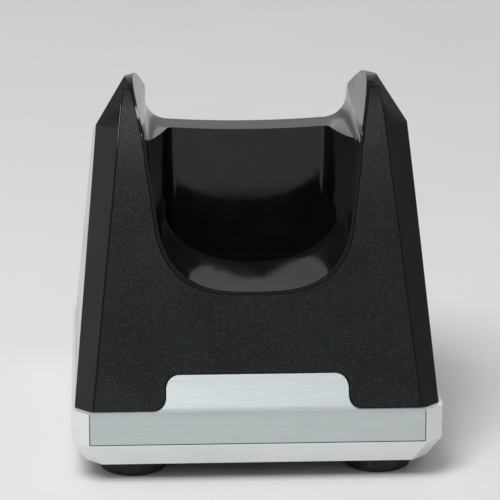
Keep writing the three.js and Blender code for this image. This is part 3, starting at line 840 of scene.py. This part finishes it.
def gloss_black():
    paint = Paint("gloss_black", (0.006, 0.006, 0.0065), 0.08, specular=0.36)
    smudge = paint.noise((9, 9, 14), 5, 0.6)
    streak = paint.noise((0.5, 0.5, 9), 2)
    mottle = paint.math("MULTIPLY", smudge, paint.span(streak, (0.3, 0.7), (0.8, 1.2)))
    paint.rough(mottle, 0.05, 0.14, high=0.75)
    haze = paint.share(smudge, high=0.75)
    base = paint.blend(haze, (0.005, 0.005, 0.0055), (0.009, 0.009, 0.0095))
    # Painted highlight: the rounded edges are painted a lighter grey, as if they caught the light.
    paint.color(paint.edges(0.35), base, (0.022, 0.022, 0.023))
    paint.bump((paint.noise(3.2, 1), 0.004), (paint.noise(0.35, 2), 0.0006))
    return paint.material


def textured_black():
    paint = Paint("textured_black", (0.009, 0.009, 0.01), 0.42, specular=0.2)
    grain = paint.cells(0.36)
    pick = paint.cells(0.36, "Color")
    chosen = paint.span(pick, (0.66, 0.9), (0, 0.8))
    shade = paint.share(paint.noise(16, 3))
    base = paint.blend(shade, (0.0065, 0.0065, 0.007), (0.009, 0.0105, 0.0115))
    hue = paint.share(paint.noise(5, 1), 0.4, 0.6)
    tint = paint.blend(hue, (0.018, 0.031, 0.033), (0.026, 0.025, 0.031))
    paint.color(chosen, base, tint)
    paint.rough(paint.noise(0.9, 3), 0.36, 0.5)
    paint.bump((grain, 0.04), (paint.noise(0.16, 2), 0.01))
    return paint.material


def silver_satin():
    paint = Paint("silver_satin", (0.82, 0.84, 0.845), 0.34, 0.35)
    drift = paint.share(paint.noise(22, 3))
    flake = paint.cells(0.12, "Color")
    tone = paint.blend(drift, (0.8, 0.825, 0.83), (0.86, 0.875, 0.88))
    flaked = paint.blend(paint.span(flake, (0.2, 1.0), (0, 0.16)), tone, (0.6, 0.63, 0.64))
    # Painted highlight: the rounded edges are painted near white, as if they caught the light.
    paint.color(paint.edges(0.6), flaked, (0.9, 0.91, 0.91))
    paint.rough(paint.noise(4, 4), 0.3, 0.42)
    paint.bump((paint.noise(0.2, 2), 0.0035))
    return paint.material


def brushed_plate():
    paint = Paint("brushed_plate", (0.56, 0.61, 0.61), 0.42, 0.5)
    streak = paint.noise((14, 14, 0.09), 3, 0.6)
    fine = paint.noise((4, 4, 0.035), 2)
    lines = paint.math("ADD", paint.math("MULTIPLY", streak, 0.6), paint.math("MULTIPLY", fine, 0.4))
    paint.color(paint.share(lines), (0.5, 0.55, 0.555), (0.62, 0.665, 0.67))
    paint.rough(lines, 0.38, 0.5)
    paint.bump((lines, 0.003))
    return paint.material


def rubber():
    paint = Paint("rubber", (0.016, 0.016, 0.017), 0.8)
    dust = paint.share(paint.noise(2.4, 5, 0.65), 0.45, 0.75)
    paint.color(dust, (0.013, 0.013, 0.014), (0.04, 0.04, 0.041))
    paint.rough(paint.noise(0.8, 3), 0.65, 0.9)
    paint.bump((paint.noise(0.35, 3), 0.03))
    return paint.material


def moulded_black():
    paint = Paint("moulded_black", (0.018, 0.018, 0.019), 0.5)
    shade = paint.share(paint.noise(12, 3))
    paint.color(shade, (0.014, 0.014, 0.015), (0.026, 0.026, 0.028))
    paint.rough(paint.noise(3, 3), 0.42, 0.6)
    paint.bump((paint.cells(0.28), 0.02), (paint.noise(0.12, 2), 0.006))
    return paint.material


def bare_metal(name, dark, light, rough, grain, depth):
    paint = Paint(name, light, rough, 1.0)
    stain = paint.share(paint.noise(2.6, 4, 0.6), high=0.7)
    paint.color(stain, light, dark)
    paint.rough(paint.noise(0.8, 3), rough * 0.8, rough * 1.35)
    paint.bump((paint.noise(grain, 3), depth))
    return paint.material


def circuit_green():
    paint = Paint("circuit_green", (0.012, 0.09, 0.04), 0.35)
    plots = paint.cells((2.2, 2.2, 50), feature="DISTANCE_TO_EDGE")
    tracks = paint.span(plots, (0.06, 0.09), (1, 0))
    paint.color(tracks, (0.008, 0.07, 0.03), (0.03, 0.16, 0.07))
    paint.rough(paint.noise(3, 3), 0.25, 0.45)
    paint.bump((tracks, 0.03), (paint.noise(0.15, 2), 0.004))
    return paint.material


GLOSS = gloss_black()
TEXTURED = textured_black()
SILVER = silver_satin()
BRUSHED = brushed_plate()
RUBBER = rubber()
MOULDED = moulded_black()
STEEL = bare_metal("screw_steel", (0.3, 0.31, 0.32), (0.56, 0.57, 0.58), 0.3, (0.1, 0.1, 1.5), 0.004)
SPRING = bare_metal("spring_steel", (0.22, 0.22, 0.23), (0.48, 0.49, 0.5), 0.28, (0.06, 0.06, 1.2), 0.003)
IRON = bare_metal("ballast_iron", (0.05, 0.045, 0.042), (0.12, 0.12, 0.125), 0.6, 0.9, 0.12)
BRASS = bare_metal("contact_brass", (0.42, 0.28, 0.1), (0.8, 0.6, 0.27), 0.24, (1.2, 1.2, 0.08), 0.003)
BOARD = circuit_green()


# ---- pieces: shell ----

def post(at, radius, bottom, top):
    return turned("post", [(0, bottom), (radius, bottom), (radius, top), (0, top)], at, 40)


def screw_bosses():
    """Posts inside the shell that the base screws and the swivel's screw are driven into."""
    radius, start, end = 3.6, heights_of("bottom_plate")[0] + SHEET + GAP, 60 + LIFT
    pivot_radius, pivot_start, pivot_end = 5.6, DRUM_TOP + 1.5, 70 + LIFT
    bosses = [post(middle_of(name), radius, start, end) for name in BASE_SCREWS]
    bosses.append(post(DIAL_AT, pivot_radius, pivot_start, pivot_end))
    half, inset = 46, 1.9
    below = block("below", (-half, -half, 0), (half, half, SHELL_BOTTOM + 1))
    return keep_inside(join(*bosses), join(dome(inset, SHELL_BOTTOM), below))


def screw_pilots():
    radius, end, pivot_radius, pivot_end = 1.65, 16 + LIFT, 1.8, 32 + LIFT
    pilots = [post(middle_of(name), radius, 0, end) for name in BASE_SCREWS]
    return pilots + [post(DIAL_AT, pivot_radius, 0, pivot_end)]


def build_housing():
    """The hollow shell, with room in it for the clipper, the covers and the nameplate."""
    body, below_cup = dome(0), 10
    hollow = cut(dome(WALL + COVER, SHELL_BOTTOM - 2), clipper_space(WALL, WELL_SPLIT))
    join(cut(body, hollow), screw_bosses())
    cut(body, clipper_space(0, below_cup), cover_room(True), cover_room(False))
    cut(body, plate_room(), *screw_pilots())
    soften(body, 0.2, angle=28, segments=3)
    finish_piece(body, GLOSS, "stand", "gloss_shell", "housing")


def build_covers():
    for front, node in ((True, "front_cover"), (False, "rear_cover")):
        piece = cover(front)
        soften(piece, 0.2)
        finish_piece(piece, TEXTURED, "stand", "textured_face", node)


def build_cup():
    """The bottom of the well, with a rounded floor edge and two holes for the contacts."""
    outside = prism("cradle_cup", well_plan(WALL), cup_low[2], cup_high[2], "Z")
    rings = []
    round_edge = 2.0
    for turn in quarter(8):
        shrink = -round_edge * (1 - math.sin(turn))
        level = WELL_FLOOR + round_edge * (1 - math.cos(turn))
        rings.append([(x, y, level) for x, y in well_plan(shrink)])
    rings.append([(x, y, cup_high[2] + 2) for x, y in well_plan(0)])
    cut(outside, loft("room", rings))
    radius, flared, below, above = 1.9, 2.6, 10, WELL_FLOOR + 0.2
    hole = [(0, below), (radius, below), (radius, WELL_FLOOR - 0.5), (flared, above), (0, above)]
    for side in SIDES:
        cut(outside, turned("hole", hole, middle_of("contact_pin_" + side), 48))
    soften(outside, 0.2)
    finish_piece(outside, GLOSS, "stand", "gloss_shell", "cradle_cup")


# ---- pieces: base ----

def square_ring(half, corner, z, edge=0.8):
    """A level square with cut corners, the points of one section."""
    outline = rounded(cut_rectangle(half, -half, half, corner, corner), edge)
    return [(x, y, z) for x, y in outline]


NOTCH_FROM = 20.5
NOTCH_BOTTOM = 11.0 + LIFT
NOTCH_RADIUS = 3.5


def notch(axis):
    """Cuts the ring down at the inlet: in its rear wall along Y, in its right wall along X."""
    above_ring = 30
    outline = [(NOTCH_FROM, above_ring)]
    outline += arc((NOTCH_FROM + NOTCH_RADIUS, NOTCH_BOTTOM + NOTCH_RADIUS), NOTCH_RADIUS, 180, 270)
    outline += [(FAR, NOTCH_BOTTOM), (FAR, above_ring)]
    ends = (NOTCH_FROM, FAR + 1)
    if axis == "Y":
        rings = [[(x, end, z) for x, z in outline] for end in ends]
    else:
        rings = [[(end, y, z) for y, z in outline] for end in ends]
    return loft("notch", rings)


def dial_room(radius, top):
    """Room for the dial and for the corner outside it."""
    disc = turned("room", [(0, 0), (radius, 0), (radius, top), (0, top)], DIAL_AT)
    return join(disc, block("corner", (*DIAL_AT, -1), (FAR, FAR, top)))


def build_base_ring():
    """A square ring: bevelled below, corners cut, open at the inlet, with room for the nameplate."""
    inner_cut, ledge = RING_CUT - 1.4, 0.6
    outside = [
        square_ring(RING_BOTTOM_HALF, RING_CUT, RING_BOTTOM),
        square_ring(RING_HALF, RING_CUT, RING_BEVEL),
        square_ring(RING_HALF, RING_CUT, RING_TOP),
    ]
    inside = [
        square_ring(RING_HALF - RING_WALL, inner_cut, RING_TOP),
        square_ring(RING_HALF - RING_WALL, inner_cut, RING_BEVEL),
        square_ring(RING_BOTTOM_HALF - RING_WALL + ledge, inner_cut, RING_BOTTOM),
    ]
    ring = loft("base_ring", outside + inside, closed=True)
    cut(ring, plate_room(), notch("Y"), notch("X"), dial_room(DIAL_RADIUS + 0.4, RING_BEVEL - 0.2))
    soften(ring, 0.4, segments=3)
    finish_piece(ring, SILVER, "stand", "silver_ring", "base_ring")


def plate_face_y(z):
    """The plate stands upright on the ring, then leans back with the shell and meets it at its top."""
    upright, rise, bend, slope_below = plate_low[1], plate_high[2] - RING_TOP, 0.35, 0.6
    step = front_y(RING_TOP) - upright
    proud = step * within(1 - (z - RING_TOP) / rise)
    leaning = front_y(max(z, RING_TOP)) - proud + slope_below * min(0.0, z - RING_TOP)
    return upright + bend * math.log(1 + math.exp((leaning - upright) / bend))


def build_nameplate():
    thickness, steps = 1.6, 90
    heights = np.linspace(plate_low[2] - 1, plate_high[2] + 1, steps)
    face = [(plate_face_y(z), z) for z in heights]
    section = [(y + thickness, z) for y, z in face]
    section = face + section[::-1]
    sheet = loft("nameplate", [[(x, y, z) for y, z in section] for x in (-FAR, FAR)])
    piece = keep_inside(sheet, prism("outline", plate_outline(0), *IN_FRONT, "Y"))
    soften(piece, 0.22)
    finish_piece(piece, BRUSHED, "stand", "nameplate", "nameplate")


def plate_posts(cup_bottom):
    """The bottom plate's posts as (place, radius, top): four under the cup, two for the board."""
    x, y, cup_radius, board_radius = 22.6, 10.0, 2.6, 2.4
    board_bottom = heights_of("circuit_board")[0]
    posts = [((sx * x, sy * y), cup_radius, cup_bottom) for sx in (-1, 1) for sy in (-1, 1)]
    for side in SIDES:
        posts.append((middle_of("board_screw_" + side), board_radius, board_bottom - GAP))
    return posts


def plate_holes(bottom, sheet_top):
    """Stepped holes for the heads and shanks of the screws, and pilots for the board's screws."""
    head, shank = 3.2, 1.75
    shelf, through = bottom + 1.6, sheet_top + 2.2
    hole = [(0, 0), (head, 0), (head, shelf), (shank, shelf), (shank, through), (0, through)]
    holes = [turned("hole", hole, middle_of(name), 48) for name in PLATE_SCREWS]
    radius, start, end = 1.2, bottom + 1.2, sheet_top + 6.2
    pilot = [(0, start), (radius, start), (radius, end), (0, end)]
    holes += [turned("pilot", pilot, middle_of("board_screw_" + side), 32) for side in SIDES]
    return holes + [dial_room(DIAL_RADIUS + 0.5, through)]


def build_bottom_plate():
    half, corner = radius_of("bottom_plate"), 4
    bottom, cup_bottom = heights_of("bottom_plate")
    sheet_top = bottom + SHEET
    plate = loft("bottom_plate", [square_ring(half, corner, z) for z in (bottom, sheet_top)])
    for at, radius, top in plate_posts(cup_bottom):
        join(plate, post(at, radius, sheet_top - 0.5, top))
    cut(plate, *plate_holes(bottom, sheet_top))
    soften(plate, 0.25)
    finish_piece(plate, MOULDED, "stand", "base_black", "bottom_plate")


def build_feet():
    """Round feet: a shallow hollow in the sole, a rounded lower edge and a bevelled upper one."""
    hollow, edge, bevel = 0.25, 0.7, 0.3
    for name in [f"foot_{end}_{side}" for end in ENDS for side in SIDES]:
        radius, top = radius_of(name), heights_of(name)[1]
        profile = [(0, hollow), (radius - 3.2, hollow), (radius - 2.9, 0.0)]
        for turn in np.linspace(0, math.pi / 2, 7):
            profile.append((radius - edge + edge * math.sin(turn), edge - edge * math.cos(turn)))
        profile += [(radius, top - bevel), (radius - bevel, top), (0, top)]
        foot = turned(name, profile, middle_of(name), 96)
        tidy(foot, 0.005)
        finish_piece(foot, RUBBER, "stand", "foot_rubber", name)


def cross_recess(at, reach, bottom, depth, width=0.75):
    """A cross cut into a screw's head from below, narrowing upwards."""
    mouth, end = (bottom - 0.5, 1.1, 0.62), (bottom + depth, 0.45, 0.5)
    arms = []
    for across in (False, True):
        rings = []
        for level, long_share, wide_share in (mouth, end):
            long, wide = reach * long_share, width * wide_share
            dx, dy = (long, wide) if across else (wide, long)
            corners = ((-dx, -dy), (dx, -dy), (dx, dy), (-dx, dy))
            rings.append([(at[0] + x, at[1] + y, level) for x, y in corners])
        arms.append(loft("arm", rings))
    return join(*arms)


def build_screw(node, head_height, shank):
    """A pan-head screw driven upwards: domed head with a cross recess, threaded shank."""
    at, radius = middle_of(node), radius_of(node)
    bottom, top = heights_of(node)
    dome_height, recess_reach, recess_depth = head_height * 0.75, radius * 0.62, head_height * 0.8
    profile = [(0, bottom)]
    for turn in quarter(8, first=1):
        profile.append((radius * math.sin(turn), bottom + dome_height * (1 - math.cos(turn))))
    profile += [(radius, bottom + head_height), (shank, bottom + head_height)]
    pitch, thread_depth, plain, point = 0.9, 0.28, 0.6, 1.2
    root = shank - thread_depth
    level = bottom + head_height + plain
    while level + pitch < top - point:
        profile += [(root, level), (root, level + pitch * 0.45), (shank, level + pitch * 0.72)]
        level += pitch
    profile += [(root, level), (0, top)]
    screw = turned(node, profile, at, 48)
    cut(screw, cross_recess(at, recess_reach, bottom, recess_depth))
    tidy(screw, 0.004)
    finish_piece(screw, STEEL, "stand", "screw_steel", node)


# ---- pieces: inlet and contacts ----

def build_dial():
    """The silver skirt that turns with the inlet, recessed below for the hub's flange."""
    bottom, top = heights_of("swivel_dial")
    seat, seat_top = HUB_FLANGE_RADIUS + 0.4, bottom + HUB_FLANGE + GAP
    profile = [
        (SWIVEL_BORE, seat_top), (seat, seat_top), (seat, bottom), (DIAL_RADIUS - 3.1, bottom),
        (DIAL_RADIUS, top - 0.5), (DIAL_RADIUS, top), (SWIVEL_BORE, top),
    ]
    dial = turned("swivel_dial", profile, DIAL_AT, 144)
    soften(dial, 0.25, segments=3)
    finish_piece(dial, SILVER, "inlet_swivel", "silver_ring", "swivel_dial")


INLET_TURN = math.radians(45)
GROOVES = ((6.3, 8.7), (10.3, 12.7))


def onto_swivel(obj):
    """Turns a piece drawn facing +X about the origin and moves it onto the swivel axis."""
    obj.data.transform(Matrix.Translation((*DIAL_AT, 0)) @ Matrix.Rotation(INLET_TURN, 4, "Z"))
    return obj


def build_drum():
    """The drum with the inlet's mouth, a neck below, and grooves on top for the slip rings."""
    neck, groove_floor = 12.0, DRUM_TOP - 0.6
    profile = [(SWIVEL_BORE, DRUM_BOTTOM), (neck, DRUM_BOTTOM), (neck, DRUM_STEP)]
    profile += [(DRUM_RADIUS, DRUM_STEP), (DRUM_RADIUS, DRUM_TOP)]
    for inner, outer in reversed(GROOVES):
        profile += [(outer, DRUM_TOP), (outer, groove_floor), (inner, groove_floor), (inner, DRUM_TOP)]
    profile.append((SWIVEL_BORE, DRUM_TOP))
    drum = turned("inlet_drum", profile, (0, 0), 144)
    low, high = DRUM_STEP + MOUTH_WALL, DRUM_TOP - MOUTH_WALL
    corners = [(-MOUTH_HALF, low), (MOUTH_HALF, low), (MOUTH_HALF, high), (-MOUTH_HALF, high)]
    mouth = rounded(corners, 1.2, 6)
    cut(drum, loft("cavity", [[(x, y, z) for y, z in mouth] for x in (MOUTH_BACK, 20)]))
    soften(drum, 0.2)
    finish_piece(onto_swivel(drum), MOULDED, "inlet_swivel", "base_black", "inlet_drum")


def build_inlet_pins():
    """Two round-ended pins that point out of the mouth."""
    start, length, radius, apart = MOUTH_BACK + GAP, 5.6, 1.0, 3.2
    level = (DRUM_STEP + DRUM_TOP) / 2
    lie_down = Matrix.Rotation(math.pi / 2, 4, "Y")
    for across, node in ((-apart, "inlet_pin_left"), (apart, "inlet_pin_right")):
        profile = [(0, 0), (radius, 0), (radius, length - radius)]
        for turn in quarter(7, first=1):
            profile.append((radius * math.cos(turn), length - radius + radius * math.sin(turn)))
        pin = turned(node, profile, (0, 0), 48)
        pin.data.transform(Matrix.Translation((start, across, level)) @ lie_down)
        tidy(pin, 0.004)
        finish_piece(onto_swivel(pin), STEEL, "inlet_swivel", "screw_steel", node)


def build_hub():
    """The post that the drum turns on: a flange below, and a stepped bore for its screw."""
    bottom, top = heights_of("pivot_hub")
    flange_top, head_room, head_top, bore = bottom + HUB_FLANGE, 3.3, bottom + 2.1, 1.8
    profile = [(head_room, bottom), (HUB_FLANGE_RADIUS, bottom), (HUB_FLANGE_RADIUS, flange_top)]
    profile += [(HUB_RADIUS, flange_top), (HUB_RADIUS, top)]
    profile += [(bore, top), (bore, head_top), (head_room, head_top)]
    hub = turned("pivot_hub", profile, DIAL_AT, 96)
    soften(hub, 0.2)
    finish_piece(hub, MOULDED, "stand", "base_black", "pivot_hub")


def build_contact_pins():
    """Turned pins: a tail in the spring, a collar on it, and a domed head."""
    tail, collar, head, dome_height = 1.0, 2.0, 1.5, 1.1
    for side in SIDES:
        node = "contact_pin_" + side
        bottom, top = heights_of(node)
        collar_low, collar_high = bottom + 1.6, bottom + 2.9
        profile = [(0, bottom), (tail - 0.1, bottom), (tail, bottom + 0.1), (tail, collar_low)]
        profile += [(collar, collar_low), (collar, collar_high), (head, collar_high)]
        for turn in quarter(8):
            height = top - dome_height + dome_height * math.sin(turn)
            profile.append((head * math.cos(turn), height))
        pin = turned(node, profile, middle_of(node), 48)
        tidy(pin, 0.004)
        finish_piece(pin, BRASS, "contact_" + side, "contact_brass", node)


END_TURN_RISE = 0.075


def spring_wire(at, low, high, mean=1.65, wire=0.28, turns=6, sides=10, steps=32):
    """A round wire wound into a spring whose first and last turns lie almost flat."""
    turn_ends = (0, 1 / turns, 1 - 1 / turns, 1)
    rises = (0, END_TURN_RISE, 1 - END_TURN_RISE, 1)
    rings = []
    for k in range(turns * steps + 1):
        t = k / (turns * steps)
        angle = 2 * math.pi * turns * t
        rise = float(np.interp(t, turn_ends, rises))
        level = mix(low + wire, high - wire, rise)
        ring = []
        for i in range(sides):
            a = 2 * math.pi * i / sides
            r = mean + wire * math.cos(a)
            x, y = at[0] + r * math.cos(angle), at[1] + r * math.sin(angle)
            ring.append((x, y, level + wire * math.sin(a)))
        rings.append(ring)
    return loft("spring", rings)


def build_contact_springs():
    for side in SIDES:
        node = "contact_spring_" + side
        bottom, top = heights_of(node)
        at = middle_of("contact_pin_" + side)
        spring = spring_wire(at, bottom, top)
        finish_piece(spring, SPRING, "stand", "spring_steel", node)
        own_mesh(spring)


build_housing()
build_covers()
build_cup()
build_base_ring()
build_nameplate()
build_bottom_plate()
build_feet()
for name in PLATE_SCREWS:
    build_screw(name, head_height=1.1, shank=1.35)
build_screw("pivot_screw", head_height=1.6, shank=1.5)
build_dial()
build_drum()
build_inlet_pins()
build_hub()
build_contact_pins()
build_contact_springs()

# These CAD nodes keep their own shape and get a finish of their own.
KEPT = {
    "circuit_board": BOARD,
    "board_screw_left": STEEL,
    "board_screw_right": STEEL,
    "contact_block": MOULDED,
    "ballast_left": IRON,
    "ballast_right": IRON,
    "friction_washer": RUBBER,
    "slip_ring_inner": BRASS,
    "slip_ring_outer": BRASS,
    "wiper_inner": BRASS,
    "wiper_outer": BRASS,
}
for name, finish in KEPT.items():
    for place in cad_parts[name].material_slots:
        place.material = finish

# ---- camera, lights and floor ----

middle = (cad_low + cad_high) / 2


def aim(obj, target):
    obj.rotation_mode = "QUATERNION"
    obj.rotation_quaternion = (Vector(target) - obj.location).to_track_quat("-Z", "Y")


def direction(azimuth, elevation):
    """From the stand's middle outwards; azimuth 0 is the front and 90 the right side."""
    a, e = math.radians(azimuth), math.radians(elevation)
    return Vector((math.sin(a) * math.cos(e), -math.cos(a) * math.cos(e), math.sin(e)))


CAMERA_AT = {"azimuth": -2.5, "elevation": 17}
CAMERA_DISTANCE = 0.95
LENS = 245

camera_data = bpy.data.cameras.new("camera")
camera_data.sensor_width = 36
camera_data.lens = LENS
camera = bpy.data.objects.new("camera", camera_data)
bpy.context.scene.collection.objects.link(camera)
camera.location = middle + CAMERA_DISTANCE * direction(**CAMERA_AT)
aim(camera, middle)
bpy.context.scene.camera = camera


def soft_box(name, azimuth, elevation, distance, size, glow):
    """A rectangular light facing the stand; glow is the brightness of its face."""
    data = bpy.data.lights.new(name, "AREA")
    data.shape = "RECTANGLE"
    data.size, data.size_y = size
    data.energy = glow * math.pi * size[0] * size[1]
    lamp = bpy.data.objects.new(name, data)
    bpy.context.scene.collection.objects.link(lamp)
    lamp.location = middle + distance * direction(azimuth, elevation)
    aim(lamp, middle)


soft_box("key", azimuth=-28, elevation=58, distance=1.1, size=(0.5, 0.5), glow=11.5)
soft_box("left_panel", azimuth=-98, elevation=12, distance=0.8, size=(0.6, 0.5), glow=0.5)
soft_box("rear_panel", azimuth=180, elevation=34, distance=0.9, size=(1.1, 1.0), glow=0.42)

world = bpy.data.worlds.new("studio")
world.use_nodes = True
world.node_tree.nodes["Background"].inputs["Color"].default_value = (0.98, 0.98, 1, 1)
world.node_tree.nodes["Background"].inputs["Strength"].default_value = 0.3
bpy.context.scene.world = world
bpy.context.scene.view_settings.view_transform = "Standard"

FLOOR_HALF = 6
signs = ((-1, -1), (1, -1), (1, 1), (-1, 1))
floor = new_object("floor", [(x * FLOOR_HALF, y * FLOOR_HALF, 0) for x, y in signs], [(0, 1, 2, 3)])
floor_paint = Paint("floor", (0.72, 0.72, 0.71), 0.6)
floor_paint.color(floor_paint.noise(60, 3), (0.8, 0.8, 0.79), (0.84, 0.84, 0.83))
floor.data.materials.clear()
floor.data.materials.append(floor_paint.material)
